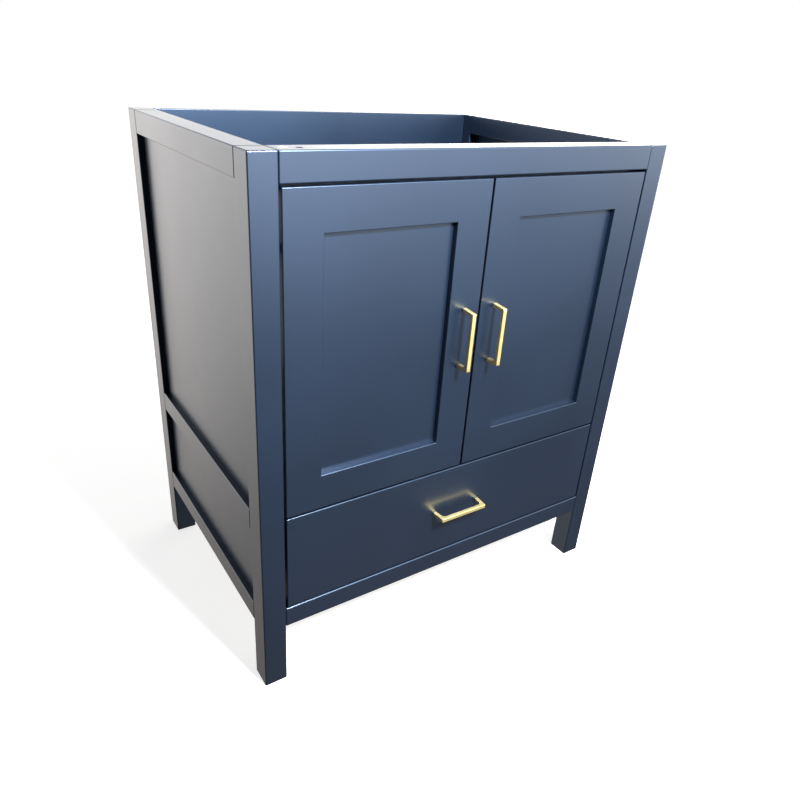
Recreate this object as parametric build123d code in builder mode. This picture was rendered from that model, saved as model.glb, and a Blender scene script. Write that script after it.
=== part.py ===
"""Bathroom vanity base cabinet with two shaker doors over one drawer.

Millimetres, +Z up. The front looks along -Y and the width runs along X. The origin is on the
floor, in the middle of the whole object, pulls included. The carcass is four square posts that
run down into legs, joined by rails, with grooved-in side panels. The top is left open for a
countertop and a basin, and the back is open behind the cupboard for the plumbing.
"""
import os

from build123d import *

os.makedirs("parts", exist_ok=True)

# Overall size
width = 762.0
depth = 533.0
height = 876.0
leg_height = 120.0

# Posts and rails
post_width = 40.0
post_depth = 42.0
side_rail_height = 38.0
front_rail_height = 39.5
front_rail_depth = 45.0
bottom_rail_height = 38.0
bottom_rail_depth = 30.0
board_ease = 2.0

# Panels and inner boards
side_panel_thickness = 12.0
side_panel_recess = 10.0
side_groove_depth = 8.0
panel_play = 0.5
back_rail_height = 100.0
back_rail_thickness = 18.0
back_panel_thickness = 12.0
floor_thickness = 15.0
floor_overlap = 5.5
cleat_height = 60.0
stop_size = 12.0
stop_gap = 2.0

# Countertop fixing holes and the covered cam fittings in the front top rail
countertop_hole_radius = 5.0
countertop_hole_from_side = 76.5
countertop_hole_from_front = 20.0
cap_radius = 5.9
cap_depth = 8.0
cap_clearance = 0.1
cap_ease = 0.6
cap_from_side = 58.0
cap_from_front = 27.0

# Doors and drawer front
reveal = 3.5
door_thickness = 20.0
door_ease = 1.2
stile_width = 59.0
door_rail_height = 60.0
door_panel_recess = 9.0
door_panel_thickness = 6.0
door_groove_depth = 8.0
drawer_face_height = 176.5

# Bumpers on the door stop
bumper_radius = 3.5
bumper_thickness = 1.6
bumper_from_middle = (28.0, 290.0)

# Bar pulls
pull_centres = 96.0
pull_bar = 7.0
pull_reach = 27.0
pull_lean = 2.2
pull_inner_radius = 6.0
pull_outer_radius = 1.8
pull_ease = 0.8
pull_screw_radius = 1.9
pull_thread_radius = 2.0
pull_thread_depth = 9.0
pull_screw_grip = 8.0
pull_hole_radius = 2.5
screw_head_radius = 4.0
screw_head_height = 2.4
screw_slot_width = 1.1
screw_slot_depth = 1.1

# Concealed cup hinges. Link places are given from the door's outer edge and from its back face.
door_axis_from_edge = 8.0
door_axis_from_front = 5.0
hinge_from_door_end = 80.0
cup_from_edge = 22.5
cup_radius = 17.4
cup_bore_clearance = 0.1
cup_depth = 12.2
cup_wall = 0.7
cup_rim_radius = 19.0
cup_flange_length = 62.0
cup_flange_width = 17.0
cup_flange_thickness = 1.2
link_pivot = (1.0, 5.2)
link_bend = ((11.0, 23.5), (49.7, 24.6))
link_tip = (32.4, -6.5)
link_thickness = 3.2
link_width = 8.0
link_eye_radius = 2.9
link_roller_radius = 2.4
link_end_gap = 0.5
pivot_pin_radius = 1.5
pivot_clearance = 0.05
hinge_plate_length = 50.0
hinge_plate_thickness = 1.2
hinge_plate_setback = 1.5
hinge_ear_thickness = 2.0
hinge_screw_radius = 1.8
hinge_screw_head_radius = 3.4
hinge_screw_head_height = 1.8
hinge_screw_depth = 14.0
hinge_screw_spacing = 32.0

# Drawer box
box_board = 12.0
box_lift = 17.0
box_headroom = 27.0
box_bottom_thickness = 6.0
box_bottom_lift = 10.0
box_groove_depth = 6.0
box_ease = 1.0

# Ball-bearing drawer slides: three nested channels between the box and the cabinet side
slide_width = 12.7
slide_setback = 3.0
slide_rear_gap = 48.0
slide_wall = 1.2
slide_outer_height = 45.0
slide_outer_flange = 9.0
slide_middle_height = 36.0
slide_middle_inset = 2.2
slide_middle_flange = 7.3
slide_middle_shortfall = 20.0
slide_inner_height = 27.0
slide_inner_flange = 7.7

# Planes and levels that the pieces share
half_width = width / 2
post_inner = half_width - post_width
front_y = -(depth - pull_reach) / 2
back_y = front_y + depth
rail_start = front_y + post_depth
rail_end = back_y - post_depth
panel_outer = half_width - side_panel_recess
panel_inner = panel_outer - side_panel_thickness
opening_top = height - front_rail_height
opening_bottom = leg_height + bottom_rail_height
drawer_bottom = opening_bottom + reveal
drawer_top = drawer_bottom + drawer_face_height
door_bottom = drawer_top + reveal
door_top = opening_top - reveal
door_outer = post_inner - reveal
door_inner = reveal / 2
door_back = front_y + door_thickness
door_middle = (door_bottom + door_top) / 2
hinge_levels = (door_bottom + hinge_from_door_end, door_top - hinge_from_door_end)
floor_top = door_bottom + floor_overlap
floor_bottom = floor_top - floor_thickness
box_outer = post_inner - slide_width
box_inner = box_outer - box_board
box_bottom = opening_bottom + box_lift
box_top = floor_bottom - box_headroom
box_front = door_back
slide_level = (box_bottom + box_top) / 2
slide_front = door_back + slide_setback
slide_length = back_y - back_panel_thickness - slide_rear_gap - slide_front
box_back = box_front + slide_length
drawer_middle = (drawer_bottom + drawer_top) / 2
sides = (("left", -1), ("right", 1))


def span(sign, near, far):
    """The X range between two distances from the middle, on the side that sign names."""
    return tuple(sorted((sign * near, sign * far)))


def block(x_range, y_range, z_range, mode=Mode.ADD):
    """Fill three ranges with a block, in the part that is being built."""
    ranges = (x_range, y_range, z_range)
    with Locations(tuple((low + high) / 2 for low, high in ranges)):
        Box(*(high - low for low, high in ranges), mode=mode)


def save(built, name):
    """Label a finished piece and write its file."""
    built.part.label = name
    export_step(built.part, f"parts/{name}.step")


def hinge_point(sign, place):
    """The plan point of a hinge place, given from the door's outer edge and back face."""
    return (sign * (door_outer - place[0]), door_back + place[1])


# Posts, grooved for the side panels, with pilot holes for the hinge plates in the front pair
for side, sign in sides:
    for place, post_front, groove_front in (
        ("front", front_y, rail_start - side_groove_depth),
        ("rear", rail_end, rail_end),
    ):
        with BuildPart() as post:
            block(
                span(sign, post_inner, half_width),
                (post_front, post_front + post_depth),
                (0, height),
            )
            fillet(post.edges(), board_ease)
            block(
                span(sign, panel_inner, panel_outer),
                (groove_front, groove_front + side_groove_depth),
                (
                    leg_height + side_rail_height - side_groove_depth,
                    height - side_rail_height + side_groove_depth,
                ),
                mode=Mode.SUBTRACT,
            )
            if place == "front":
                plate_middle = (door_back + hinge_plate_setback + rail_start) / 2
                for level in hinge_levels:
                    for shift in (-hinge_screw_spacing / 2, hinge_screw_spacing / 2):
                        face = Plane(
                            origin=(sign * post_inner, plate_middle, level + shift),
                            z_dir=(-sign, 0, 0),
                        )
                        with Locations(face):
                            Hole(hinge_screw_radius, hinge_screw_depth)
        save(post, f"{place}_{side}_post")

# Side rails and the two grooved-in panels between them
side_rail_levels = {
    "top": height - side_rail_height,
    "middle": floor_top - side_rail_height,
    "bottom": leg_height,
}
for side, sign in sides:
    for place, level in side_rail_levels.items():
        with BuildPart() as side_rail:
            block(
                span(sign, post_inner, half_width),
                (rail_start, rail_end),
                (level, level + side_rail_height),
            )
            fillet(side_rail.edges(), board_ease)
            grooves = []
            if place != "top":
                grooves.append(level + side_rail_height - side_groove_depth)
            if place != "bottom":
                grooves.append(level)
            for groove in grooves:
                block(
                    span(sign, panel_inner, panel_outer),
                    (rail_start, rail_end),
                    (groove, groove + side_groove_depth),
                    mode=Mode.SUBTRACT,
                )
        save(side_rail, f"{side}_side_{place}_rail")
    for place, below, above in (("upper", "middle", "top"), ("lower", "bottom", "middle")):
        seat = side_groove_depth - panel_play
        with BuildPart() as side_panel:
            block(
                span(sign, panel_inner, panel_outer),
                (rail_start - seat, rail_end + seat),
                (
                    side_rail_levels[below] + side_rail_height - seat,
                    side_rail_levels[above] + seat,
                ),
            )
        save(side_panel, f"{side}_side_{place}_panel")

# Front top rail, with the countertop holes and the seats of the cam covers
with BuildPart() as front_top_rail:
    block(
        (-post_inner, post_inner),
        (front_y, front_y + front_rail_depth),
        (opening_top, height),
    )
    fillet(front_top_rail.edges(), board_ease)
    for _, sign in sides:
        hole_x = sign * (half_width - countertop_hole_from_side)
        with Locations((hole_x, front_y + countertop_hole_from_front, height)):
            Hole(countertop_hole_radius)
        cap_x = sign * (half_width - cap_from_side)
        with Locations((cap_x, front_y + cap_from_front, height)):
            Hole(cap_radius + cap_clearance, cap_depth)
save(front_top_rail, "front_top_rail")

# Covers of the cam fittings that hold the front top rail to the posts
with BuildPart() as cam_covers:
    for _, sign in sides:
        with BuildSketch(Plane.XY.offset(height - cap_depth)):
            with Locations((sign * (half_width - cap_from_side), front_y + cap_from_front)):
                Circle(cap_radius)
    extrude(amount=cap_depth)
    fillet(cam_covers.edges().group_by(Axis.Z)[-1], cap_ease)
save(cam_covers, "cam_covers")

with BuildPart() as front_bottom_rail:
    block(
        (-post_inner, post_inner),
        (front_y, front_y + bottom_rail_depth),
        (leg_height, opening_bottom),
    )
    fillet(front_bottom_rail.edges(), board_ease)
save(front_bottom_rail, "front_bottom_rail")

# Back rails, with the lower panel that closes the drawer bay
for name, thickness, low, high in (
    ("back_top_rail", back_rail_thickness, height - back_rail_height, height),
    ("back_bottom_rail", back_rail_thickness, leg_height, opening_bottom),
    ("back_panel", back_panel_thickness, opening_bottom, floor_top),
):
    with BuildPart() as back_board:
        block((-post_inner, post_inner), (back_y - thickness, back_y), (low, high))
        fillet(back_board.edges(), box_ease)
    save(back_board, name)

with BuildPart() as cupboard_floor:
    block(
        (-post_inner, post_inner),
        (door_back + stop_gap, back_y - back_panel_thickness),
        (floor_bottom, floor_top),
    )
    fillet(cupboard_floor.edges(), box_ease)
save(cupboard_floor, "cupboard_floor")

# Strip that stops the doors, with its soft bumpers
with BuildPart() as door_stop:
    block(
        (-post_inner, post_inner),
        (door_back + stop_gap, door_back + stop_gap + stop_size),
        (opening_top - stop_size, opening_top),
    )
    fillet(door_stop.edges(), box_ease)
save(door_stop, "door_stop")

with BuildPart() as door_bumpers:
    bumper_level = opening_top - stop_size + box_ease + bumper_radius
    bumper_face = Plane(
        origin=(0, door_back + stop_gap, bumper_level), x_dir=(1, 0, 0), z_dir=(0, -1, 0)
    )
    with BuildSketch(bumper_face):
        with Locations([(sign * x, 0) for _, sign in sides for x in bumper_from_middle]):
            Circle(bumper_radius)
    extrude(amount=bumper_thickness)
    fillet(door_bumpers.edges().group_by(Axis.Y)[0], bumper_thickness / 3)
save(door_bumpers, "door_bumpers")

# Cleats that carry the drawer slides between the posts
for side, sign in sides:
    with BuildPart() as cleat:
        block(
            span(sign, post_inner, panel_inner),
            (rail_start, rail_end),
            (slide_level - cleat_height / 2, slide_level + cleat_height / 2),
        )
    save(cleat, f"{side}_slide_cleat")

# Doors: one eased and grooved frame, cut into its two stiles and two rails, and a flat panel
for side, sign in sides:
    door_x = span(sign, door_inner, door_outer)
    door_y = (front_y, door_back)
    opening_x = span(sign, door_inner + stile_width, door_outer - stile_width)
    opening_z = (door_bottom + door_rail_height, door_top - door_rail_height)
    panel_y = (
        front_y + door_panel_recess,
        front_y + door_panel_recess + door_panel_thickness,
    )
    pull_x = sign * (door_inner + stile_width / 2)
    cup_x = sign * (door_outer - cup_from_edge)
    with BuildPart() as door_frame:
        block(door_x, door_y, (door_bottom, door_top))
        block(opening_x, door_y, opening_z, mode=Mode.SUBTRACT)
        fillet(door_frame.edges().filter_by(Axis.Y, reverse=True), door_ease)
        block(
            (opening_x[0] - door_groove_depth, opening_x[1] + door_groove_depth),
            panel_y,
            (opening_z[0] - door_groove_depth, opening_z[1] + door_groove_depth),
            mode=Mode.SUBTRACT,
        )
        for level in hinge_levels:
            with Locations(Plane(origin=(cup_x, door_back, level), z_dir=(0, 1, 0))):
                Hole(cup_radius + cup_bore_clearance, cup_depth + cup_bore_clearance)
        for shift in (-pull_centres / 2, pull_centres / 2):
            with Locations(
                Plane(origin=(pull_x, door_back, door_middle + shift), z_dir=(0, 1, 0))
            ):
                Hole(pull_hole_radius)
    for name, x_range, z_range in (
        ("hinge_stile", span(sign, door_outer - stile_width, door_outer), (door_bottom, door_top)),
        ("pull_stile", span(sign, door_inner, door_inner + stile_width), (door_bottom, door_top)),
        ("top_rail", opening_x, (opening_z[1], door_top)),
        ("bottom_rail", opening_x, (door_bottom, opening_z[0])),
    ):
        with BuildPart() as frame_piece:
            add(door_frame.part)
            block(x_range, door_y, z_range, mode=Mode.INTERSECT)
        save(frame_piece, f"{side}_door_{name}")
    seat = door_groove_depth - panel_play
    with BuildPart() as door_panel:
        block(
            (opening_x[0] - seat, opening_x[1] + seat),
            panel_y,
            (opening_z[0] - seat, opening_z[1] + seat),
        )
    save(door_panel, f"{side}_door_panel")

# Hinge cups pressed into the back of each door's outer stile
for side, sign in sides:
    cup_x = sign * (door_outer - cup_from_edge)
    with BuildPart() as hinge_cups:
        for level in hinge_levels:
            cup_face = Plane(origin=(cup_x, door_back, level), x_dir=(0, 0, 1), z_dir=(0, 1, 0))
            with BuildSketch(cup_face):
                Circle(cup_rim_radius)
                SlotOverall(cup_flange_length, cup_flange_width)
            extrude(amount=cup_flange_thickness)
            with BuildSketch(cup_face):
                Circle(cup_radius)
            extrude(amount=-cup_depth)
            with BuildSketch(cup_face.offset(cup_flange_thickness)):
                Circle(cup_radius - cup_wall)
            extrude(
                amount=-(cup_depth - cup_wall + cup_flange_thickness),
                mode=Mode.SUBTRACT,
            )
    save(hinge_cups, f"{side}_hinge_cups")

# Curved hinge links: each turns on its arm's pin and reaches round the door's edge into the cup
for side, sign in sides:
    pivot = hinge_point(sign, link_pivot)
    tip = hinge_point(sign, link_tip)
    with BuildPart() as hinge_links:
        for level in hinge_levels:
            with BuildSketch(Plane.XY.offset(level - link_width / 2)):
                with BuildLine():
                    Bezier(pivot, *(hinge_point(sign, bend) for bend in link_bend), tip)
                trace(line_width=link_thickness)
                with Locations(pivot):
                    Circle(link_eye_radius)
                with Locations(tip):
                    Circle(link_roller_radius)
                with Locations(pivot):
                    Circle(pivot_pin_radius + pivot_clearance, mode=Mode.SUBTRACT)
            extrude(amount=link_width)
    save(hinge_links, f"{side}_hinge_links")

# Hinge arms: a plate on the post, two ears and the pin that the links turn on
plate_front = door_back + hinge_plate_setback
for side, sign in sides:
    pivot = hinge_point(sign, link_pivot)
    ear_reach = post_inner - abs(pivot[0])
    with BuildPart() as hinge_arms:
        for level in hinge_levels:
            block(
                span(sign, post_inner - hinge_plate_thickness, post_inner),
                (plate_front, rail_start),
                (level - hinge_plate_length / 2, level + hinge_plate_length / 2),
            )
            ear_start = link_width / 2 + link_end_gap
            for ear_level in (level - ear_start - hinge_ear_thickness, level + ear_start):
                with BuildSketch(Plane.XY.offset(ear_level)):
                    with Locations(pivot):
                        Circle(link_eye_radius)
                    with Locations((pivot[0] + sign * ear_reach / 2, pivot[1])):
                        Rectangle(ear_reach, 2 * link_eye_radius)
                extrude(amount=hinge_ear_thickness)
            pin_end = ear_start + hinge_ear_thickness
            with BuildSketch(Plane.XY.offset(level - pin_end)):
                with Locations(pivot):
                    Circle(pivot_pin_radius)
            extrude(amount=2 * pin_end)
            for shift in (-hinge_screw_spacing / 2, hinge_screw_spacing / 2):
                face = Plane(
                    origin=(
                        sign * (post_inner - hinge_plate_thickness),
                        (plate_front + rail_start) / 2,
                        level + shift,
                    ),
                    z_dir=(-sign, 0, 0),
                )
                with Locations(face):
                    Hole(hinge_screw_radius, hinge_plate_thickness)
    save(hinge_arms, f"{side}_hinge_arms")

with BuildPart() as hinge_screws:
    for _, sign in sides:
        for level in hinge_levels:
            for shift in (-hinge_screw_spacing / 2, hinge_screw_spacing / 2):
                face = Plane(
                    origin=(
                        sign * (post_inner - hinge_plate_thickness),
                        (plate_front + rail_start) / 2,
                        level + shift,
                    ),
                    z_dir=(-sign, 0, 0),
                )
                with BuildSketch(face):
                    Circle(hinge_screw_head_radius)
                extrude(amount=hinge_screw_head_height)
                with BuildSketch(face):
                    Circle(hinge_screw_radius - pivot_clearance)
                extrude(amount=-(hinge_plate_thickness + hinge_screw_depth - 1.0))
save(hinge_screws, "hinge_screws")

# Drawer front, its box and the bottom that slides into the box's grooves
with BuildPart() as drawer_front:
    block((-door_outer, door_outer), (front_y, door_back), (drawer_bottom, drawer_top))
    fillet(drawer_front.edges(), door_ease)
    for shift in (-pull_centres / 2, pull_centres / 2):
        with Locations(Plane(origin=(shift, door_back, drawer_middle), z_dir=(0, 1, 0))):
            Hole(pull_hole_radius)
save(drawer_front, "drawer_front")

groove_z = (box_bottom + box_bottom_lift, box_bottom + box_bottom_lift + box_bottom_thickness)
groove_x = (-box_inner - box_groove_depth, box_inner + box_groove_depth)
groove_y = (
    box_front + box_board - box_groove_depth,
    box_back - box_board + box_groove_depth,
)
for side, sign in sides:
    with BuildPart() as box_side:
        block(span(sign, box_inner, box_outer), (box_front, box_back), (box_bottom, box_top))
        fillet(box_side.edges().filter_by(Axis.Y), box_ease)
        block(groove_x, groove_y, groove_z, mode=Mode.SUBTRACT)
    save(box_side, f"drawer_{side}_side")

for name, y_range in (
    ("drawer_inner_front", (box_front, box_front + box_board)),
    ("drawer_back", (box_back - box_board, box_back)),
):
    with BuildPart() as box_end:
        block((-box_inner, box_inner), y_range, (box_bottom, box_top))
        fillet(box_end.edges().filter_by(Axis.X), box_ease)
        block(groove_x, groove_y, groove_z, mode=Mode.SUBTRACT)
        if name == "drawer_inner_front":
            for shift in (-pull_centres / 2, pull_centres / 2):
                screw_place = (shift, box_front + box_board, drawer_middle)
                with Locations(Plane(origin=screw_place, z_dir=(0, 1, 0))):
                    Hole(pull_hole_radius)
    save(box_end, name)

with BuildPart() as drawer_bottom_board:
    block(
        (groove_x[0] + panel_play, groove_x[1] - panel_play),
        (groove_y[0] + panel_play, groove_y[1] - panel_play),
        groove_z,
    )
save(drawer_bottom_board, "drawer_bottom")

# Bar pulls and the machine screws that hold them, on the doors' stiles and the drawer front
upright = {"x_dir": (0, 0, 1), "z_dir": (1, 0, 0)}
level_bar = {"x_dir": (1, 0, 0), "z_dir": (0, 0, -1)}
pull_stile_x = door_inner + stile_width / 2
for name, middle, turn, board_thickness in (
    ("left_door_pull", (-pull_stile_x, front_y, door_middle), upright, door_thickness),
    ("right_door_pull", (pull_stile_x, front_y, door_middle), upright, door_thickness),
    ("drawer_pull", (0, front_y, drawer_middle), level_bar, door_thickness + box_board),
):
    pull_plane = Plane(origin=middle, **turn)
    feet = [
        pull_plane.from_local_coords((shift, 0, 0))
        for shift in (-pull_centres / 2, pull_centres / 2)
    ]
    with BuildPart() as pull:
        with BuildSketch(pull_plane) as outline:
            for half, reach, mode in (
                (pull_centres / 2 + pull_bar / 2, pull_reach, Mode.ADD),
                (pull_centres / 2 - pull_bar / 2, pull_reach - pull_bar, Mode.SUBTRACT),
            ):
                tip = half - pull_lean * reach / pull_reach
                corners = ((-half, 0), (half, 0), (tip, reach), (-tip, reach))
                Polygon(*corners, align=None, mode=mode)
            corner_rows = outline.vertices().group_by(Axis.Y)
            fillet(corner_rows[1], pull_inner_radius)
            fillet(outline.vertices().group_by(Axis.Y)[-1], pull_outer_radius)
        extrude(amount=pull_bar / 2, both=True)
        fillet(
            pull.edges().filter_by(
                lambda edge: edge.bounding_box().min.Y < front_y - pull_ease
                and edge.bounding_box().size.length > pull_bar
            ),
            pull_ease,
        )
        for foot in feet:
            with Locations(Plane(origin=foot, z_dir=(0, 1, 0))):
                Hole(pull_thread_radius, pull_thread_depth)
    save(pull, name)
    with BuildPart() as pull_screws:
        for foot in feet:
            seat_plane = Plane(
                origin=(foot.X, foot.Y + board_thickness, foot.Z), z_dir=(0, 1, 0)
            )
            with BuildSketch(seat_plane):
                Circle(screw_head_radius)
            extrude(amount=screw_head_height)
            with BuildSketch(seat_plane):
                Circle(pull_screw_radius)
            extrude(amount=-(board_thickness + pull_screw_grip))
            with BuildSketch(seat_plane.offset(screw_head_height)):
                Rectangle(screw_head_radius, screw_slot_width)
                Rectangle(screw_slot_width, screw_head_radius)
            extrude(amount=-screw_slot_depth, mode=Mode.SUBTRACT)
    save(pull_screws, f"{name}_screws")

# Drawer slides. The outer channel is on the cabinet, the inner one on the drawer box
slide_z = {
    height_of: (slide_level - height_of / 2, slide_level + height_of / 2)
    for height_of in (slide_outer_height, slide_middle_height, slide_inner_height)
}


def channel(sign, web_near, web_far, flange_reach, y_range, z_range):
    """A channel with its web between two distances from the middle and two flanges."""
    block(span(sign, web_near, web_far), y_range, z_range)
    low, high = z_range
    for flange_z in ((low, low + slide_wall), (high - slide_wall, high)):
        block(span(sign, *flange_reach), y_range, flange_z)


slide_y = (slide_front, slide_front + slide_length)
for side, sign in sides:
    with BuildPart() as slide_outer:
        channel(
            sign,
            post_inner - slide_wall,
            post_inner,
            (post_inner - slide_outer_flange, post_inner),
            slide_y,
            slide_z[slide_outer_height],
        )
    save(slide_outer, f"{side}_slide_outer")
    with BuildPart() as slide_inner:
        channel(
            sign,
            box_outer,
            box_outer + slide_wall,
            (box_outer, box_outer + slide_inner_flange),
            slide_y,
            slide_z[slide_inner_height],
        )
    save(slide_inner, f"{side}_slide_inner")

with BuildPart() as slide_middles:
    for _, sign in sides:
        web_far = post_inner - slide_middle_inset
        channel(
            sign,
            web_far - slide_wall,
            web_far,
            (web_far - slide_middle_flange, web_far),
            (slide_front, slide_front + slide_length - slide_middle_shortfall),
            slide_z[slide_middle_height],
        )
save(slide_middles, "slide_middle_members")

# Joint places
for side, sign in sides:
    axis_x = sign * (door_outer - door_axis_from_edge)
    axis_y = front_y + door_axis_from_front
    pin_x, pin_y = hinge_point(sign, link_pivot)
    print(f"{side} door axis X {axis_x:.2f} Y {axis_y:.2f}, link pin X {pin_x:.2f} Y {pin_y:.2f}")
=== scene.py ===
"""Looks of a bathroom vanity base cabinet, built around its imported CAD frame.

The cabinet has two shaker doors on concealed hinges over one drawer on ball-bearing slides, in a
satin navy lacquer, with satin brass bar pulls. Metres, +Z up, the front looks along -Y.
"""

from __future__ import annotations

import logging
import math
from collections.abc import Callable, Iterable, Sequence
from dataclasses import dataclass, field
from enum import Enum

import bmesh
import bpy
from mathutils import Matrix, Vector

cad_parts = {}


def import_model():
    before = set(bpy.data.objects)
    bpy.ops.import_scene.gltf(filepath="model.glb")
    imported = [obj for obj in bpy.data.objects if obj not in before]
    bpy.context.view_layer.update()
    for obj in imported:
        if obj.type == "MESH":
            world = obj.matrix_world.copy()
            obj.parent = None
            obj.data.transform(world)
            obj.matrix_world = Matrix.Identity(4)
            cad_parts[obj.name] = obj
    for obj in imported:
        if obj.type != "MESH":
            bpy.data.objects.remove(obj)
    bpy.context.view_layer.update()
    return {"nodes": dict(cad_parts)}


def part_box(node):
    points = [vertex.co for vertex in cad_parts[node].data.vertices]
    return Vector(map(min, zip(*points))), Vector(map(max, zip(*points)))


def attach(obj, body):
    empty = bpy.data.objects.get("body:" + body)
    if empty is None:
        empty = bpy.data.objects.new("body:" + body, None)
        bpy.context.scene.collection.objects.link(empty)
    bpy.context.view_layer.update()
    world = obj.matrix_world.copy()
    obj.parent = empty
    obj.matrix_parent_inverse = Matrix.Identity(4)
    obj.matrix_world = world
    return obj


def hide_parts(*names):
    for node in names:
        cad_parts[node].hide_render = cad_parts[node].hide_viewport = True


logging.basicConfig(level=logging.INFO, format="%(message)s")
log = logging.getLogger("vanity")

Colour = tuple[float, float, float]
Point = tuple[float, float, float]
MM = 0.001
NEAR = 1e-5
ALIGNED = 0.9
SIDES = (("left", -1), ("right", 1))


# ---------------------------------------------------------------- shader graphs


class Signal:
    """A node's output that can be used in arithmetic."""

    def __init__(self, graph: "Graph", socket: bpy.types.NodeSocket) -> None:
        """Wrap a socket.

        Args:
            graph: The graph that the socket's node is in.
            socket: The output to use.
        """
        self.graph = graph
        self.socket = socket

    def _worked(self, operation: str, first: object, second: object) -> "Signal":
        """Work two values out with a Math node."""
        return self.graph.node("ShaderNodeMath", {"operation": operation}, {0: first, 1: second})

    def __add__(self, other: object) -> "Signal":
        """Add."""
        return self._worked("ADD", self, other)

    def __radd__(self, other: object) -> "Signal":
        """Add, from the right."""
        return self._worked("ADD", other, self)

    def __sub__(self, other: object) -> "Signal":
        """Subtract."""
        return self._worked("SUBTRACT", self, other)

    def __mul__(self, other: object) -> "Signal":
        """Multiply."""
        return self._worked("MULTIPLY", self, other)

    def ramp(self, low: float, high: float, start: float = 0.0, end: float = 1.0) -> "Signal":
        """Ease from one value to another as this one crosses a range.

        Args:
            low: Where the change begins.
            high: Where it ends.
            start: The value at and below low.
            end: The value at and above high.

        Returns:
            The eased value.
        """
        return self.graph.node(
            "ShaderNodeMapRange",
            {"interpolation_type": "SMOOTHSTEP"},
            {"Value": self, "From Min": low, "From Max": high, "To Min": start, "To Max": end},
        )


class Graph:
    """The node tree of one material or of the world."""

    def __init__(self, tree: bpy.types.NodeTree) -> None:
        """Empty a tree and get ready to fill it."""
        self.tree = tree
        tree.nodes.clear()

    def node(
        self,
        kind: str,
        settings: dict[str, object] | None = None,
        values: dict[int | str, object] | None = None,
        output: int | str = 0,
    ) -> Signal | None:
        """Add a node.

        Args:
            kind: The node's type.
            settings: Its settings, set before its sockets. "stops" fills a colour ramp.
            values: What goes into its sockets, as numbers, colours or signals.
            output: Which output to hand back.

        Returns:
            That output, or None from a node that has none.
        """
        made = self.tree.nodes.new(kind)
        for name, value in (settings or {}).items():
            if name == "stops":
                self._fill_ramp(made.color_ramp, value)
            else:
                setattr(made, name, value)
        for key, value in (values or {}).items():
            socket = made.inputs[key]
            if isinstance(value, Signal):
                self.tree.links.new(value.socket, socket)
            elif socket.type == "RGBA" and len(value) == 3:
                socket.default_value = (*value, 1.0)
            else:
                socket.default_value = value
        return Signal(self, made.outputs[output]) if made.outputs else None

    @staticmethod
    def _fill_ramp(ramp: bpy.types.ColorRamp, stops: Sequence[tuple[float, Colour]]) -> None:
        """Put stops on a colour ramp."""
        while len(ramp.elements) < len(stops):
            ramp.elements.new(0.5)
        for element, (place, colour) in zip(ramp.elements, stops):
            element.position = place
            element.color = (*colour, 1.0)

    def mix(self, share: object, first: object, second: object, blend: str = "MIX") -> Signal:
        """Mix two colours.

        Args:
            share: How much of the second colour shows.
            first: The first colour.
            second: The second colour.
            blend: How they are laid over each other.

        Returns:
            The mixed colour.
        """
        return self.node(
            "ShaderNodeMix",
            {"data_type": "RGBA", "blend_type": blend},
            {"Factor": share, 6: first, 7: second},
            2,
        )

    def place(self) -> Signal:
        """Object coordinates."""
        return self.node("ShaderNodeTexCoord", output="Object")

    def parts(self, vector: Signal) -> tuple[Signal, Signal, Signal]:
        """The three numbers of a vector."""
        split = self.node("ShaderNodeSeparateXYZ", None, {0: vector}).socket.node
        return tuple(Signal(self, socket) for socket in split.outputs)

    def stretched(self, vector: Signal, scale: Point, shift: Point = (0, 0, 0)) -> Signal:
        """Coordinates scaled by different amounts along the three axes."""
        return self.node(
            "ShaderNodeMapping", None, {"Vector": vector, "Location": shift, "Scale": scale}
        )

    def noise(
        self, vector: Signal, scale: float, detail: float = 3.0, rough: float = 0.5
    ) -> Signal:
        """Noise from nought to one over some coordinates."""
        return self.node(
            "ShaderNodeTexNoise",
            None,
            {"Vector": vector, "Scale": scale, "Detail": detail, "Roughness": rough},
        )

    def bump(self, height: Signal, depth: float, strength: float = 1.0) -> Signal:
        """A normal from a height, which is in units of a depth in metres."""
        return self.node(
            "ShaderNodeBump", None, {"Height": height, "Distance": depth, "Strength": strength}
        )


# ---------------------------------------------------------------- finishes


class Slot(Enum):
    """The record's material slots."""

    LACQUER = "navy_lacquer"
    PLY = "birch_ply"
    BRASS = "satin_brass"
    NICKEL = "nickel_steel"
    ZINC = "zinc_steel"
    SCREW = "steel_screw"
    CAP = "white_cap"
    BUMPER = "clear_bumper"


class Grain(Enum):
    """The way that a board's grain, or a bar's brushing, runs."""

    UPRIGHT = (1.0, 1.0, 0.035)
    ACROSS = (0.035, 1.0, 1.0)
    DEEP = (1.0, 0.035, 1.0)


class Finish:
    """A finish that makes its material once for each way of the grain."""

    slot: Slot
    made: dict[tuple[str, Grain], bpy.types.Material] = {}

    def material(self, grain: Grain) -> bpy.types.Material:
        """The material of this finish with its grain one way.

        Args:
            grain: The way of the grain or brushing.

        Returns:
            The material, made at the first call.
        """
        key = (self.slot.value, grain)
        if key not in Finish.made:
            made = bpy.data.materials.new(f"{self.slot.value}_{grain.name.lower()}")
            made.use_nodes = True
            graph = Graph(made.node_tree)
            shader = self.shader(graph, grain)
            graph.node("ShaderNodeOutputMaterial", None, {"Surface": shader})
            Finish.made[key] = made
        return Finish.made[key]

    def shader(self, graph: Graph, grain: Grain) -> Signal:
        """The finish's shader.

        Args:
            graph: The graph to fill.
            grain: The way of the grain or brushing.

        Returns:
            The shader's output.
        """
        raise NotImplementedError


def principled(graph: Graph, values: dict[str, object]) -> Signal:
    """A Principled shader with some of its sockets set."""
    return graph.node("ShaderNodeBsdfPrincipled", None, values)


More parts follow.
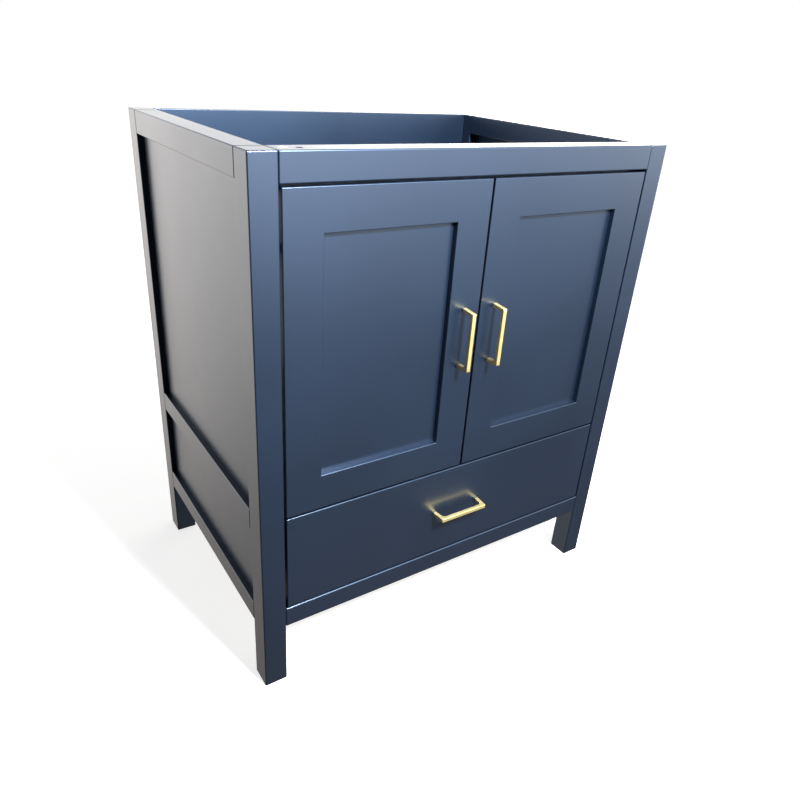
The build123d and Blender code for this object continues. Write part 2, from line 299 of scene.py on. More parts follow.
@dataclass(frozen=True)
class Lacquer(Finish):
    """Satin navy lacquer, sprayed over wood whose grain faintly shows."""

    slot = Slot.LACQUER
    deep: Colour = (0.0018, 0.0036, 0.0084)
    light: Colour = (0.0023, 0.0045, 0.0102)
    tint: Colour = (0.32, 0.57, 1.0)
    roughness: float = 0.44
    gloss: float = 0.85
    coat: float = 1.0
    coat_roughness: float = 0.25

    def shader(self, graph: Graph, grain: Grain) -> Signal:
        """Mottled navy with orange peel, faint grain and a few dust nibs."""
        place = graph.place()
        run = graph.stretched(place, grain.value)
        cloud = graph.noise(place, 5.0, 2.0)
        lines = graph.noise(run, 700.0, 4.0, 0.6)
        peel = graph.noise(place, 260.0, 2.0)
        nibs = graph.noise(place, 900.0, 0.0).ramp(0.79, 0.84)
        tone = cloud.ramp(0.3, 0.7) * 0.6 + lines * 0.4
        rough = cloud.ramp(0.25, 0.75, -0.025, 0.025) + (lines - 0.5) * 0.05 + self.roughness
        height = peel * 0.7 + lines * 0.12 + nibs * 0.6
        return principled(
            graph,
            {
                "Base Color": graph.mix(tone, self.deep, self.light),
                "Roughness": rough + nibs * 0.15,
                "Normal": graph.bump(height, 0.000012),
                "Specular IOR Level": self.gloss,
                "Specular Tint": self.tint,
                "Coat Weight": self.coat,
                "Coat Roughness": self.coat_roughness,
            },
        )


@dataclass(frozen=True)
class Brass(Finish):
    """Satin brass, brushed along the bar."""

    slot = Slot.BRASS
    deep: Colour = (0.76, 0.56, 0.22)
    light: Colour = (0.93, 0.76, 0.38)
    roughness: float = 0.42

    def shader(self, graph: Graph, grain: Grain) -> Signal:
        """Brushed brass with slightly darker patches."""
        place = graph.place()
        brush = graph.noise(graph.stretched(place, grain.value), 2600.0, 3.0, 0.65)
        fine = graph.noise(place, 3400.0, 1.0)
        cloud = graph.noise(place, 45.0, 2.0)
        tone = cloud.ramp(0.3, 0.7) * 0.35 + brush * 0.65
        return principled(
            graph,
            {
                "Base Color": graph.mix(tone, self.deep, self.light),
                "Metallic": 1.0,
                "Roughness": brush * 0.14 + cloud * 0.05 + self.roughness,
                "Normal": graph.bump(brush * 0.7 + fine * 0.3, 0.00003),
            },
        )


@dataclass(frozen=True)
class Ply(Finish):
    """Clear-finished birch plywood, with its plies on the cut edges."""

    slot = Slot.PLY
    pale: Colour = (0.31, 0.222, 0.130)
    warm: Colour = (0.22, 0.148, 0.080)
    glue: Colour = (0.11, 0.062, 0.030)
    core: Colour = (0.13, 0.078, 0.040)
    plies: float = 110.0
    edges: tuple[float, float] = (0.200, 0.205)

    def shader(self, graph: Graph, grain: Grain) -> Signal:
        """Birch figure with pores, and plies on the boards' upper edges."""
        place = graph.place()
        run = graph.stretched(place, grain.value)
        figure = graph.noise(run, 55.0, 5.0, 0.55)
        pores = graph.noise(run, 900.0, 2.0).ramp(0.60, 0.72)
        cloud = graph.noise(place, 7.0, 2.0)
        face = graph.mix(figure.ramp(0.32, 0.68) * 0.7 + cloud * 0.3, self.pale, self.warm)
        face = graph.mix(pores * 0.35, face, self.glue)
        bands = {"bands_direction": "X" if grain is Grain.DEEP else "Y"}
        turns = {"Vector": place, "Scale": self.plies, "Distortion": 0.6, "Detail": 2.0}
        plies = graph.node("ShaderNodeTexWave", bands, turns, "Fac").ramp(0.35, 0.65)
        look = graph.node("ShaderNodeTexCoord", output="Normal")
        edge = graph.parts(look)[2].ramp(0.6, 0.9) * graph.parts(place)[2].ramp(*self.edges)
        face = graph.mix(edge * plies * 0.75, face, self.core)
        return principled(
            graph,
            {
                "Base Color": face,
                "Roughness": 0.42 + figure * 0.12,
                "Normal": graph.bump(figure * 0.5 - pores, 0.00008),
                "Coat Weight": 0.15,
                "Coat Roughness": 0.3,
            },
        )


@dataclass(frozen=True)
class Metal(Finish):
    """A plated or plain steel."""

    slot: Slot = Slot.ZINC
    deep: Colour = (0.42, 0.43, 0.45)
    light: Colour = (0.62, 0.63, 0.65)
    roughness: float = 0.3
    scale: float = 320.0

    def shader(self, graph: Graph, grain: Grain) -> Signal:
        """Metal with rolling lines along it and a faint bloom."""
        place = graph.place()
        lines = graph.noise(graph.stretched(place, grain.value), 1500.0, 3.0, 0.6)
        bloom = graph.noise(place, self.scale, 3.0)
        tone = bloom.ramp(0.3, 0.7) * 0.6 + lines * 0.4
        return principled(
            graph,
            {
                "Base Color": graph.mix(tone, self.deep, self.light),
                "Metallic": 1.0,
                "Roughness": self.roughness - 0.06 + lines * 0.10 + bloom * 0.06,
                "Normal": graph.bump(lines, 0.00002),
            },
        )


@dataclass(frozen=True)
class Plastic(Finish):
    """Moulded plastic or soft rubber with a fine spark texture."""

    slot: Slot = Slot.CAP
    colour: Colour = (0.80, 0.80, 0.77)
    shade: Colour = (0.70, 0.70, 0.67)
    roughness: float = 0.45
    opacity: float = 1.0

    def shader(self, graph: Graph, grain: Grain) -> Signal:
        """A lightly mottled moulding."""
        place = graph.place()
        spark = graph.noise(place, 2600.0, 2.0)
        cloud = graph.noise(place, 150.0, 2.0)
        return principled(
            graph,
            {
                "Base Color": graph.mix(cloud, self.colour, self.shade),
                "Roughness": self.roughness + spark * 0.1,
                "Normal": graph.bump(spark, 0.00002),
                "Alpha": self.opacity,
            },
        )


@dataclass(frozen=True)
class Palette:
    """Every finish of the cabinet."""

    lacquer: Lacquer = Lacquer()
    brass: Brass = Brass()
    ply: Ply = Ply()
    nickel: Metal = Metal(Slot.NICKEL, (0.60, 0.58, 0.55), (0.78, 0.76, 0.72), 0.16, 240.0)
    zinc: Metal = Metal(Slot.ZINC, (0.42, 0.44, 0.47), (0.60, 0.62, 0.65), 0.30, 300.0)
    screw: Metal = Metal(Slot.SCREW, (0.46, 0.46, 0.45), (0.62, 0.62, 0.60), 0.26, 700.0)
    cap: Plastic = Plastic()
    bumper: Plastic = Plastic(Slot.BUMPER, (0.72, 0.73, 0.72), (0.60, 0.61, 0.60), 0.22, 0.55)

    def of(self, slot: Slot) -> Finish:
        """The finish of a slot."""
        found = (
            self.lacquer,
            self.brass,
            self.ply,
            self.nickel,
            self.zinc,
            self.screw,
            self.cap,
            self.bumper,
        )
        return next(finish for finish in found if finish.slot is slot)


PALETTE = Palette()


def dress(piece: bpy.types.Object, slot: Slot, grain: Grain = Grain.UPRIGHT) -> None:
    """Give every face of a piece one finish.

    Args:
        piece: A frame node or a new piece.
        slot: The slot of its finish.
        grain: The way of the grain or brushing.
    """
    material = PALETTE.of(slot).material(grain)
    if not piece.material_slots:
        piece.data.materials.append(material)
    for held in piece.material_slots:
        held.material = material


# ---------------------------------------------------------------- workbench


FaceTest = Callable[[bmesh.types.BMFace], bool]
EdgeTest = Callable[[bmesh.types.BMEdge], bool]


class Bench:
    """The modelling operators that the new pieces are made with."""

    @staticmethod
    def clear() -> None:
        """Deselect every object."""
        bpy.ops.object.select_all(action="DESELECT")

    @staticmethod
    def take(*pieces: bpy.types.Object) -> bpy.types.Object:
        """Select these pieces alone, with the first one active, and hand that one back."""
        Bench.clear()
        for piece in pieces:
            piece.select_set(True)
        bpy.context.view_layer.objects.active = pieces[0]
        return pieces[0]

    @staticmethod
    def settle(name: str) -> bpy.types.Object:
        """Name the active primitive and put its place into its mesh."""
        piece = bpy.context.active_object
        Bench.take(piece)
        bpy.ops.object.transform_apply(location=True, rotation=True, scale=True)
        piece.name = piece.data.name = name
        return piece

    @staticmethod
    def cube(name: str, low: Point, high: Point) -> bpy.types.Object:
        """Start a piece from a cube between two corners."""
        Bench.clear()
        bpy.ops.mesh.primitive_cube_add(
            size=1.0,
            location=[(a + b) / 2 for a, b in zip(low, high)],
            scale=[b - a for a, b in zip(low, high)],
        )
        return Bench.settle(name)

    @staticmethod
    def disc(name: str, radius: float, height: float, sides: int) -> bpy.types.Object:
        """Start a piece from an upright cylinder that stands on the origin."""
        Bench.clear()
        bpy.ops.mesh.primitive_cylinder_add(
            vertices=sides, radius=radius, depth=height, location=(0, 0, height / 2)
        )
        return Bench.settle(name)

    @staticmethod
    def pick(
        piece: bpy.types.Object, faces: FaceTest | None = None, edges: EdgeTest | None = None
    ) -> None:
        """Go into edit mode with only some faces or edges selected.

        Args:
            piece: The piece to edit.
            faces: Which faces to select, or None to select edges.
            edges: Which edges to select, when no faces are.
        """
        if piece.mode != "EDIT":
            Bench.take(piece)
            bpy.ops.object.mode_set(mode="EDIT")
        bpy.ops.mesh.select_mode(type="FACE" if faces else "EDGE")
        bpy.ops.mesh.select_all(action="DESELECT")
        shape = bmesh.from_edit_mesh(piece.data)
        shape.normal_update()
        test = faces or edges
        for part in [part for part in (shape.faces if faces else shape.edges) if test(part)]:
            part.select_set(True)
        bmesh.update_edit_mesh(piece.data)

    @staticmethod
    def pull_out(move: Point) -> None:
        """Extrude the selected faces by a move."""
        bpy.ops.mesh.extrude_region_move(TRANSFORM_OT_translate={"value": move})

    @staticmethod
    def round_edges(width: float, segments: int) -> None:
        """Bevel the selected edges."""
        bpy.ops.mesh.bevel(offset=width, segments=segments, affect="EDGES")

    @staticmethod
    def leave(piece: bpy.types.Object, smooth_below: float = 40.0) -> None:
        """Leave edit mode and shade smooth across shallow edges."""
        if piece.mode == "EDIT":
            bpy.ops.object.mode_set(mode="OBJECT")
        Bench.take(piece)
        bpy.ops.object.shade_smooth_by_angle(angle=math.radians(smooth_below))

    @staticmethod
    def ease(piece: bpy.types.Object, width: float, segments: int = 2, least: float = 35.0) -> None:
        """Bevel every sharp edge with a modifier and apply it."""
        Bench.take(piece)
        bevel = piece.modifiers.new("ease", "BEVEL")
        bevel.width, bevel.segments = width, segments
        bevel.limit_method, bevel.angle_limit = "ANGLE", math.radians(least)
        bpy.ops.object.modifier_apply(modifier=bevel.name)

    @staticmethod
    def cut(piece: bpy.types.Object, cutter: bpy.types.Object) -> None:
        """Cut one piece out of another and throw the cutter away."""
        Bench.take(piece)
        cut = piece.modifiers.new("cut", "BOOLEAN")
        cut.operation, cut.object = "DIFFERENCE", cutter
        bpy.ops.object.modifier_apply(modifier=cut.name)
        bpy.data.objects.remove(cutter)

    @staticmethod
    def copies(
        pattern: bpy.types.Object, places: Iterable[Matrix], name: str
    ) -> bpy.types.Object:
        """Lay copies of a pattern out and join them.

        Args:
            pattern: The modelled original, which stays.
            places: Where each copy goes.
            name: The joined piece's name.

        Returns:
            The joined piece.
        """
        laid = []
        for place in places:
            one = pattern.copy()
            one.data = pattern.data.copy()
            one.data.transform(place)
            bpy.context.scene.collection.objects.link(one)
            laid.append(one)
        joined = Bench.take(*laid)
        if len(laid) > 1:
            bpy.ops.object.join()
        joined.name = joined.data.name = name
        return joined

    @staticmethod
    def discard(*pieces: bpy.types.Object) -> None:
        """Throw patterns away."""
        for piece in pieces:
            bpy.data.objects.remove(piece)


def fit(
    piece: bpy.types.Object,
    body: str,
    slot: Slot,
    grain: Grain = Grain.UPRIGHT,
    replaced: Sequence[str] = (),
) -> None:
    """Dress a new piece, put it on its body and report it.

    Args:
        piece: The new piece.
        body: The frame body that it moves with.
        slot: The slot of its finish.
        grain: The way of its brushing.
        replaced: The frame nodes that it stands for.
    """
    dress(piece, slot, grain)
    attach(piece, body)
    if replaced:
        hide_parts(*replaced)
    log.info("%s rides on %s, %d faces", piece.name, body, len(piece.data.polygons))


def facing(origin: Point, toward: Point) -> Matrix:
    """A place at a point whose +Z looks along a direction."""
    turn = Vector(toward).to_track_quat("Z", "Y").to_matrix().to_4x4()
    return Matrix.Translation(origin) @ turn


# ---------------------------------------------------------------- hardware


@dataclass
class BarPull:
    """A square-section bar pull whose two legs lean in, with rounded inner corners."""

    node: str
    body: str
    upright: bool
    bar: float = 7.0 * MM
    lean: float = 2.2 * MM
    inner_radius: float = 6.0 * MM
    outer_radius: float = 1.8 * MM
    arris: float = 0.8 * MM
    leg_bars: float = 2.5

    def build(self) -> None:
        """Model the pull over its frame node and fit it."""
        low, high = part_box(self.node)
        run = 2 if self.upright else 0
        along = Vector([float(axis == run) for axis in range(3)])
        start, end = low[run], high[run]
        face, reach = high.y, low.y
        far_block = high.copy()
        far_block[run] = start + self.bar
        far_block.y = reach + self.bar
        pull = Bench.cube(f"{self.node}_bar", low, far_block)
        front = reach + self.bar / 2

        def looks(direction: Vector) -> FaceTest:
            """Faces that look one way."""
            return lambda found: found.normal.dot(direction) > ALIGNED

        Bench.pick(pull, faces=looks(Vector((0, 1, 0))))
        Bench.pull_out((0, face - reach - self.bar, 0))
        Bench.pick(
            pull,
            faces=lambda found: found.normal.dot(along) > ALIGNED
            and abs(found.calc_center_median().y - front) < self.bar / 4,
        )
        Bench.pull_out(tuple(along * (end - start - 2 * self.bar)))
        Bench.pull_out(tuple(along * self.bar))
        last = end - self.bar / 2
        Bench.pick(
            pull,
            faces=lambda found: found.normal.y > ALIGNED
            and abs(found.calc_center_median()[run] - last) < self.bar / 4,
        )
        Bench.pull_out((0, face - reach - self.bar, 0))
        for depth, radius, segments in (
            (reach + self.bar, self.inner_radius, 8),
            (reach, self.outer_radius, 4),
        ):
            Bench.pick(pull, edges=self._across(run, depth, start, end))
            Bench.round_edges(radius, segments)
        self._lean_legs(pull, run, start, end)
        Bench.leave(pull)
        Bench.ease(pull, self.arris, 3, 50.0)
        Bench.leave(pull)
        grain = Grain.UPRIGHT if self.upright else Grain.ACROSS
        fit(pull, self.body, Slot.BRASS, grain, [self.node])

    def _lean_legs(self, pull: bpy.types.Object, run: int, start: float, end: float) -> None:
        """Draw the bar in a little, so that both legs lean towards each other.

        Args:
            pull: The pull in edit mode.
            run: The axis along the bar.
            start: The lower end of the bar.
            end: The upper end of the bar.
        """
        low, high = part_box(self.node)
        middle = (start + end) / 2
        half = (end - start) / 2
        shape = bmesh.from_edit_mesh(pull.data)
        for vertex in shape.verts:
            out = (high.y - vertex.co.y) / (high.y - low.y)
            side = math.copysign(1.0, vertex.co[run] - middle)
            near_end = min(1.0, abs(vertex.co[run] - middle) / (half - self.leg_bars * self.bar))
            vertex.co[run] -= side * self.lean * out * near_end
        bmesh.update_edit_mesh(pull.data)

    def _across(self, run: int, depth: float, start: float, end: float) -> EdgeTest:
        """Corner edges that cross the bar at one depth.

        Args:
            run: The axis along the bar.
            depth: Where the edges are along Y.
            start: The lower end of the bar.
            end: The upper end of the bar.

        Returns:
            The test.
        """
        inset = self.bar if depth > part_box(self.node)[0].y + self.bar / 2 else 0.0
        levels = (start + inset, end - inset)

        def test(edge: bmesh.types.BMEdge) -> bool:
            """Whether an edge is one of the four corners at that depth."""
            first, second = (vertex.co for vertex in edge.verts)
            return (
                abs(first.y - depth) < NEAR
                and abs(second.y - depth) < NEAR
                and abs(first[run] - second[run]) < NEAR
                and min(abs(first[run] - level) for level in levels) < NEAR
            )

        return test


@dataclass
class ScrewPattern:
    """A pan-head screw with a cross recess, on the origin with its head up."""

    radius: float
    height: float
    shank_radius: float
    shank_length: float
    recess_width: float = 1.0 * MM
    sides: int = 20
    dome: float = 0.55
    tip: float = 0.15
    tip_width: float = 0.35
    recess_reach: float = 0.58
    recess_floor: float = 0.30
    recess_taper: float = 0.7

    def build(self) -> bpy.types.Object:
        """Model the screw.

        Returns:
            The pattern, to be copied and then thrown away.
        """
        screw = Bench.disc("screw_pattern", self.radius, self.height, self.sides)
        top = self.height * 0.999
        Bench.pick(screw, edges=lambda edge: all(vertex.co.z > top for vertex in edge.verts))
        Bench.round_edges(self.height * self.dome, 3)
        Bench.pick(screw, faces=lambda face: face.normal.z < -ALIGNED)
        bpy.ops.mesh.inset(thickness=self.radius - self.shank_radius, depth=0.0)
        Bench.pull_out((0, 0, -self.shank_length * (1 - self.tip)))
        Bench.pull_out((0, 0, -self.shank_length * self.tip))
        bpy.ops.transform.resize(value=(self.tip_width, self.tip_width, 1.0))
        Bench.leave(screw, 30.0)
        for long_x, long_y in ((1, 0), (0, 1)):
            reach = self.radius * self.recess_reach
            half = self.recess_width / 2
            x, y = (reach if long_x else half), (reach if long_y else half)
            blade = Bench.cube(
                "recess_blade",
                (-x, -y, self.height * self.recess_floor),
                (x, y, self.height * 1.5),
            )
            Bench.pick(blade, faces=lambda face: face.normal.z < -ALIGNED)
            bpy.ops.transform.resize(value=(self.recess_taper, self.recess_taper, 1.0))
            Bench.leave(blade)
            Bench.cut(screw, blade)
        Bench.leave(screw, 30.0)
        return screw


@dataclass
class Screws:
    """Every visible screw: hinge plates, hinge cups, pulls, drawer front and back panel."""

    pull_nodes: tuple[str, ...] = ("left_door_pull", "right_door_pull", "drawer_pull")
    plate_thickness: float = 1.2 * MM
    cup_screw_offset: float = 24.5 * MM
    cup_end: float = 31.0 * MM
    panel_places: tuple[float, ...] = (-0.32, -0.16, 0.0, 0.16, 0.32)
    panel_margins: tuple[float, float] = (12.0 * MM, 7.5 * MM)
    panel_sink: float = 1.2 * MM
    pull_head_radius: float = 4.0 * MM
    pull_head_height: float = 2.4 * MM
    inner_front_places: tuple[float, ...] = (-0.235, -0.12, 0.12, 0.235)
    inner_front_margins: tuple[float, float] = (36.0 * MM, 24.0 * MM)

    def build(self) -> None:
        """Model each kind once and lay its copies out."""
        small = ScrewPattern(3.4 * MM, 1.8 * MM, 1.6 * MM, 13.0 * MM).build()
        self._hinge_plates(small)
        self._hinge_cups(small)
        self._back_panel(small)
        head = (self.pull_head_radius, self.pull_head_height)
        large = ScrewPattern(*head, 1.8 * MM, 27.0 * MM, 1.1 * MM).build()
        self._pulls(large)
        self._drawer_front(large)
        Bench.discard(small, large)

    def _hinge_plates(self, pattern: bpy.types.Object) -> None:
        """Screws of the hinge plates, in the places of the frame's own."""
        low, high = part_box("hinge_screws")
        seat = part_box("right_hinge_arms")[1].x - self.plate_thickness
        middle_y = (low.y + high.y) / 2
        places = [
            facing((sign * seat, middle_y, level), (-sign, 0, 0))
            for _, sign in SIDES
            for level in _islands("hinge_screws", 2)
        ]
        screws = Bench.copies(pattern, places, "hinge_plate_screws")
        fit(screws, "carcass", Slot.SCREW, Grain.ACROSS, ["hinge_screws"])

    def _hinge_cups(self, pattern: bpy.types.Object) -> None:
        """Two screws on the flange of each hinge cup."""
        for side, _ in SIDES:
            node = f"{side}_hinge_cups"
            low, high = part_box(node)
            x = (low.x + high.x) / 2
            centres = (low.z + self.cup_end, high.z - self.cup_end)
            places = [
                facing((x, high.y, centre + shift), (0, 1, 0))
                for centre in centres
                for shift in (-self.cup_screw_offset, self.cup_screw_offset)
            ]
            screws = Bench.copies(pattern, places, f"{side}_hinge_cup_screws")
            fit(screws, f"{side}_door", Slot.SCREW, Grain.UPRIGHT)

    def _back_panel(self, pattern: bpy.types.Object) -> None:
        """A row of screws along the top and bottom of the back panel."""
        low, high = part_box("back_panel")
        places = [
            facing((x, high.y - self.panel_sink, z), (0, 1, 0))
            for x in self.panel_places
            for z in (low.z + self.panel_margins[0], high.z - self.panel_margins[1])
        ]
        screws = Bench.copies(pattern, places, "back_panel_screws")
        fit(screws, "carcass", Slot.SCREW)

    def _pulls(self, pattern: bpy.types.Object) -> None:
        """Machine screws behind the three pulls."""
        for node in self.pull_nodes:
            low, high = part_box(f"{node}_screws")
            seat = high.y - self.pull_head_height
            head = self.pull_head_radius
            if high.z - low.z > high.x - low.x:
                x = (low.x + high.x) / 2
                feet = [(x, seat, low.z + head), (x, seat, high.z - head)]
            else:
                z = (low.z + high.z) / 2
                feet = [(low.x + head, seat, z), (high.x - head, seat, z)]
            body = "drawer" if node == "drawer_pull" else node.replace("_pull", "")
            screws = Bench.copies(
                pattern, [facing(foot, (0, 1, 0)) for foot in feet], f"{node}_machine_screws"
            )
            fit(screws, body, Slot.SCREW, Grain.UPRIGHT, [f"{node}_screws"])

    def _drawer_front(self, pattern: bpy.types.Object) -> None:
        """Screws that hold the drawer front to its box."""
        low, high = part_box("drawer_inner_front")
        places = [
            facing((x, high.y, z), (0, 1, 0))
            for x in self.inner_front_places
            for z in (low.z + self.inner_front_margins[0], high.z - self.inner_front_margins[1])
        ]
        screws = Bench.copies(pattern, places, "drawer_front_screws")
        fit(screws, "drawer", Slot.SCREW)


def _islands(node: str, axis: int, gap: float = 3.0 * MM) -> list[float]:
    """The middles, along one axis, of a node's separate clusters of vertices."""
    mesh = bpy.data.objects[node].data
    values = sorted(vertex.co[axis] for vertex in mesh.vertices)
    groups = [[values[0]]]
    for value in values[1:]:
        if value - groups[-1][-1] > gap:
            groups.append([])
        groups[-1].append(value)
    return [(group[0] + group[-1]) / 2 for group in groups]


@dataclass
class SlideBalls:
    """Rows of steel balls that ride on the middle members of the drawer slides."""

    radius: float = 1.5 * MM
    spacing: float = 9.0 * MM
    rows: tuple[tuple[float, float], ...] = ((0.3352, 19.65 * MM), (0.3339, 15.15 * MM))
    margin: float = 14.0 * MM
    row_length: float = 0.21

    def build(self) -> None:
        """Model one ball and lay it out in rows above and below each slide's middle."""
        low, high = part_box("slide_middle_members")
        level = (low.z + high.z) / 2
        Bench.clear()
        bpy.ops.mesh.primitive_ico_sphere_add(subdivisions=2, radius=self.radius)
        ball = Bench.settle("ball_pattern")
        Bench.leave(ball, 60.0)
        count = int(self.row_length / self.spacing)
        starts = (low.y + self.margin, high.y - self.margin - self.row_length)
        places = []
        for _, sign in SIDES:
            for (x, rise), start in zip(self.rows, starts):
                for up in (-rise, rise):
                    for index in range(count):
                        spot = (sign * x, start + index * self.spacing, level + up)
                        places.append(Matrix.Translation(spot))
        balls = Bench.copies(ball, places, "slide_balls")
        fit(balls, "slide_middles", Slot.NICKEL, Grain.DEEP)
        Bench.discard(ball)


@dataclass
class CamCaps:
    """Snap-in covers of the cam fittings, with a sunk ring round a low dome."""

    ring: float = 1.1 * MM
    sink: float = 0.35 * MM

    def build(self) -> None:
        """Model one cover and copy it to both seats."""
        low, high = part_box("cam_covers")
        radius = (high.y - low.y) / 2
        height = high.z - low.z
        cap = Bench.disc("cap_pattern", radius, height, 40)
        Bench.pick(cap, faces=lambda face: face.normal.z > ALIGNED)
        bpy.ops.mesh.inset(thickness=self.ring, depth=0.0)
        bpy.ops.mesh.inset(thickness=self.ring / 3, depth=-self.sink)
        bpy.ops.mesh.inset(thickness=self.ring / 3, depth=self.sink)
        Bench.leave(cap)
        Bench.ease(cap, 0.3 * MM, 2)
        Bench.leave(cap)
        middle_y = (low.y + high.y) / 2
        places = [
            Matrix.Translation((x, middle_y, low.z)) for x in (low.x + radius, high.x - radius)
        ]
        caps = Bench.copies(cap, places, "cam_cover_caps")
        fit(caps, "carcass", Slot.CAP, Grain.UPRIGHT, ["cam_covers"])
        Bench.discard(cap)


# ---------------------------------------------------------------- cabinet boards


@dataclass
class Boards:
    """The frame nodes that stay, each with its finish and the way of its grain."""

    across: tuple[str, ...] = (
        "front_top_rail",
        "front_bottom_rail",
        "back_top_rail",
        "back_bottom_rail",
        "back_panel",
        "cupboard_floor",
        "door_stop",
        "door_top_rail",
        "door_bottom_rail",
        "drawer_front",
    )
    deep: tuple[str, ...] = (
        "side_top_rail",
        "side_middle_rail",
        "side_bottom_rail",
    )

    def dress(self, nodes: dict[str, bpy.types.Object]) -> None:
        """Put the lacquer on every board and the metals and plastics on the rest.

        Args:
            nodes: The frame's nodes by name.
        """
        for name, node in nodes.items():
            dress(node, *self._finish(name))
        log.info("dressed %d frame nodes", len(nodes))

    def _finish(self, name: str) -> tuple[Slot, Grain]:
        """The slot and grain of one frame node."""
        if name.startswith("drawer_") and name.endswith(("side", "inner_front", "back", "bottom")):
            return Slot.PLY, Grain.DEEP if name.endswith("side") else Grain.ACROSS
        if name.endswith("_pull"):
            return Slot.BRASS, Grain.UPRIGHT
        if "screws" in name:
            return Slot.SCREW, Grain.UPRIGHT
        if "hinge_cups" in name or "hinge_links" in name or "hinge_arms" in name:
            return Slot.NICKEL, Grain.UPRIGHT
        if name.endswith("slide_cleat"):
            return Slot.PLY, Grain.DEEP
        if "slide" in name:
            return Slot.ZINC, Grain.DEEP
        if name == "cam_covers":
            return Slot.CAP, Grain.UPRIGHT
        if name == "door_bumpers":
            return Slot.BUMPER, Grain.UPRIGHT
        if name.endswith(self.across):
            return Slot.LACQUER, Grain.ACROSS
        if name.endswith(self.deep):
            return Slot.LACQUER, Grain.DEEP
        return Slot.LACQUER, Grain.UPRIGHT


# ---------------------------------------------------------------- studio


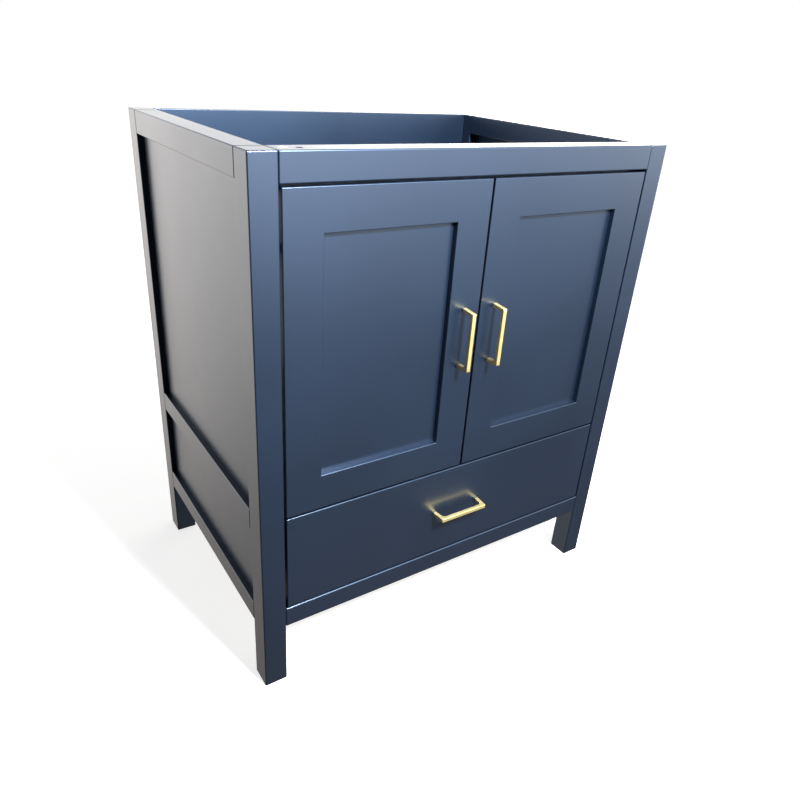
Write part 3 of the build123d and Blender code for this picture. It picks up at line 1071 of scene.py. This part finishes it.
@dataclass
class Studio:
    """The camera, the floor, the room's light and a soft lamp."""

    camera_place: Point = (-0.6890, -1.0334, 0.9828)
    heading: float = 35.04
    dip: float = 26.79
    roll: float = -4.036
    focal: float = 30.54
    sensor: float = 36.0
    floor_size: float = 60.0
    floor_colours: tuple[Colour, Colour] = ((0.55, 0.53, 0.51), (0.58, 0.56, 0.54))
    floor_glow: float = 0.75
    lamp_place: Point = (0.04, -1.43, 1.72)
    lamp_aim: Point = (-0.10, -0.20, 0.85)
    lamp_size: float = 0.34
    lamp_power: float = 172.0
    lamp_colour: Colour = (0.88, 0.94, 1.0)
    front_band: tuple[tuple[float, Colour], ...] = (
        (-0.80, (0.22, 0.21, 0.20)),
        (-0.50, (0.25, 0.24, 0.23)),
        (-0.34, (0.36, 0.35, 0.34)),
        (-0.22, (1.35, 1.42, 1.50)),
        (-0.11, (3.80, 3.90, 4.00)),
        (0.08, (4.30, 4.40, 4.50)),
        (0.30, (2.30, 2.40, 2.50)),
        (0.60, (0.80, 0.85, 0.90)),
    )
    front_left: Colour = (0.06, 0.06, 0.06)
    front_from: tuple[float, float] = (-0.05, 0.30)
    faded_past: tuple[float, float] = (0.42, 0.72)
    faded_below: tuple[float, float] = (-0.16, -0.04)
    right_fade: float = 0.80
    back_right: float = 3.2
    corner_past: tuple[float, float] = (0.35, 0.75)
    back_from: tuple[float, float] = (-0.20, 0.35)
    back_band: tuple[tuple[float, Colour], ...] = (
        (-0.95, (0.12, 0.11, 0.10)),
        (-0.60, (0.40, 0.37, 0.34)),
        (-0.25, (1.35, 1.28, 1.21)),
        (-0.08, (1.84, 1.74, 1.65)),
        (0.05, (2.15, 2.12, 2.08)),
        (0.18, (1.45, 1.45, 1.45)),
        (0.40, (0.26, 0.27, 0.28)),
        (1.00, (0.34, 0.35, 0.36)),
    )

    def build(self) -> None:
        """Make them all."""
        bpy.context.scene.view_settings.view_transform = "Standard"
        self._camera()
        self._floor()
        self._room()
        self._lamp()

    def _camera(self) -> None:
        """A camera that looks down on the cabinet's left front corner."""
        heading, dip, roll = (math.radians(a) for a in (self.heading, self.dip, self.roll))
        ahead = Vector(
            (
                math.sin(heading) * math.cos(dip),
                math.cos(heading) * math.cos(dip),
                -math.sin(dip),
            )
        )
        right = ahead.cross(Vector((0, 0, 1))).normalized()
        down = ahead.cross(right)
        rolled_right = math.cos(roll) * right + math.sin(roll) * down
        rolled_down = -math.sin(roll) * right + math.cos(roll) * down
        data = bpy.data.cameras.new("camera")
        data.lens, data.sensor_width, data.clip_end = self.focal, self.sensor, 200.0
        camera = bpy.data.objects.new("camera", data)
        bpy.context.scene.collection.objects.link(camera)
        turn = Matrix((rolled_right, -rolled_down, -ahead)).transposed().to_4x4()
        camera.matrix_world = Matrix.Translation(self.camera_place) @ turn
        bpy.context.scene.camera = camera

    def _floor(self) -> None:
        """A plain pale floor that doesn't show in the lacquer."""
        Bench.clear()
        bpy.ops.mesh.primitive_plane_add(size=self.floor_size)
        floor = Bench.settle("floor")
        material = bpy.data.materials.new("floor")
        material.use_nodes = True
        graph = Graph(material.node_tree)
        shade = graph.noise(graph.place(), 3.0, 2.0)
        shader = principled(
            graph,
            {
                "Base Color": graph.mix(shade, *self.floor_colours),
                "Roughness": 0.9,
                "Specular IOR Level": 0.0,
                "Emission Color": (1.0, 1.0, 1.0),
                "Emission Strength": self.floor_glow,
            },
        )
        graph.node("ShaderNodeOutputMaterial", None, {"Surface": shader})
        floor.data.materials.append(material)
        floor.visible_glossy = floor.visible_diffuse = False

    def _room(self) -> None:
        """A bright room behind and a cool wall in front on the right, seen as plain white."""
        world = bpy.data.worlds.new("room")
        world.use_nodes = True
        bpy.context.scene.world = world
        graph = Graph(world.node_tree)
        direction = graph.node("ShaderNodeTexCoord", output="Generated")
        x, y, z = graph.parts(direction)
        front = self._band(graph, z, self.front_band)
        front = graph.mix(x.ramp(*self.front_from), self.front_left, front)
        faded = x.ramp(*self.faded_past) * z.ramp(*self.faded_below, 1.0, 0.35)
        front = graph.mix(faded * self.right_fade, front, self.front_left)
        back = self._band(graph, z, self.back_band)
        corner = x.ramp(*self.corner_past, 1.0, self.back_right)
        back = graph.mix(1.0, back, corner, "MULTIPLY")
        room = graph.mix(y.ramp(*self.back_from), front, back)
        seen = graph.node("ShaderNodeLightPath", output="Is Camera Ray")
        shown = graph.mix(seen, room, (1.0, 1.0, 1.0))
        background = graph.node("ShaderNodeBackground", None, {"Color": shown})
        graph.node("ShaderNodeOutputWorld", None, {"Surface": background})

    def _lamp(self) -> None:
        """A soft round lamp in front of the cabinet and above it."""
        data = bpy.data.lights.new("soft_lamp", "AREA")
        data.shape, data.size = "DISK", self.lamp_size
        data.energy, data.color = self.lamp_power, self.lamp_colour
        lamp = bpy.data.objects.new("soft_lamp", data)
        bpy.context.scene.collection.objects.link(lamp)
        aim = Vector(self.lamp_aim) - Vector(self.lamp_place)
        lamp.matrix_world = facing(self.lamp_place, tuple(-aim))
        lamp.visible_camera = False

    @staticmethod
    def _band(graph: Graph, rise: Signal, band: Sequence[tuple[float, Colour]]) -> Signal:
        """A wall's light, which changes with the height of the direction.

        Args:
            graph: The room's graph.
            rise: The direction's Z, from -1 to 1.
            band: Pairs of a rise and the light there.

        Returns:
            The light from that direction.
        """
        full = max(max(colour) for _, colour in band)
        stops = [
            (0.5 + 0.5 * place, tuple(part / full for part in colour)) for place, colour in band
        ]
        share = graph.node("ShaderNodeValToRGB", {"stops": stops}, {"Fac": rise * 0.5 + 0.5})
        return graph.mix(1.0, share, (full, full, full), "MULTIPLY")


# ---------------------------------------------------------------- whole cabinet


@dataclass
class Vanity:
    """The whole cabinet around its frame."""

    boards: Boards = field(default_factory=Boards)
    pulls: tuple[BarPull, ...] = (
        BarPull("left_door_pull", "left_door", True),
        BarPull("right_door_pull", "right_door", True),
        BarPull("drawer_pull", "drawer", False),
    )
    screws: Screws = field(default_factory=Screws)
    balls: SlideBalls = field(default_factory=SlideBalls)
    caps: CamCaps = field(default_factory=CamCaps)

    def build(self, nodes: dict[str, bpy.types.Object]) -> None:
        """Dress the frame and add the detailed pieces.

        Args:
            nodes: The frame's nodes by name.
        """
        self.boards.dress(nodes)
        for pull in self.pulls:
            pull.build()
        self.screws.build()
        self.balls.build()
        self.caps.build()


def main() -> None:
    """Load the frame and build everything."""
    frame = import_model()
    Studio().build()
    Vanity().build(frame["nodes"])


if __name__ == "__main__":
    main()
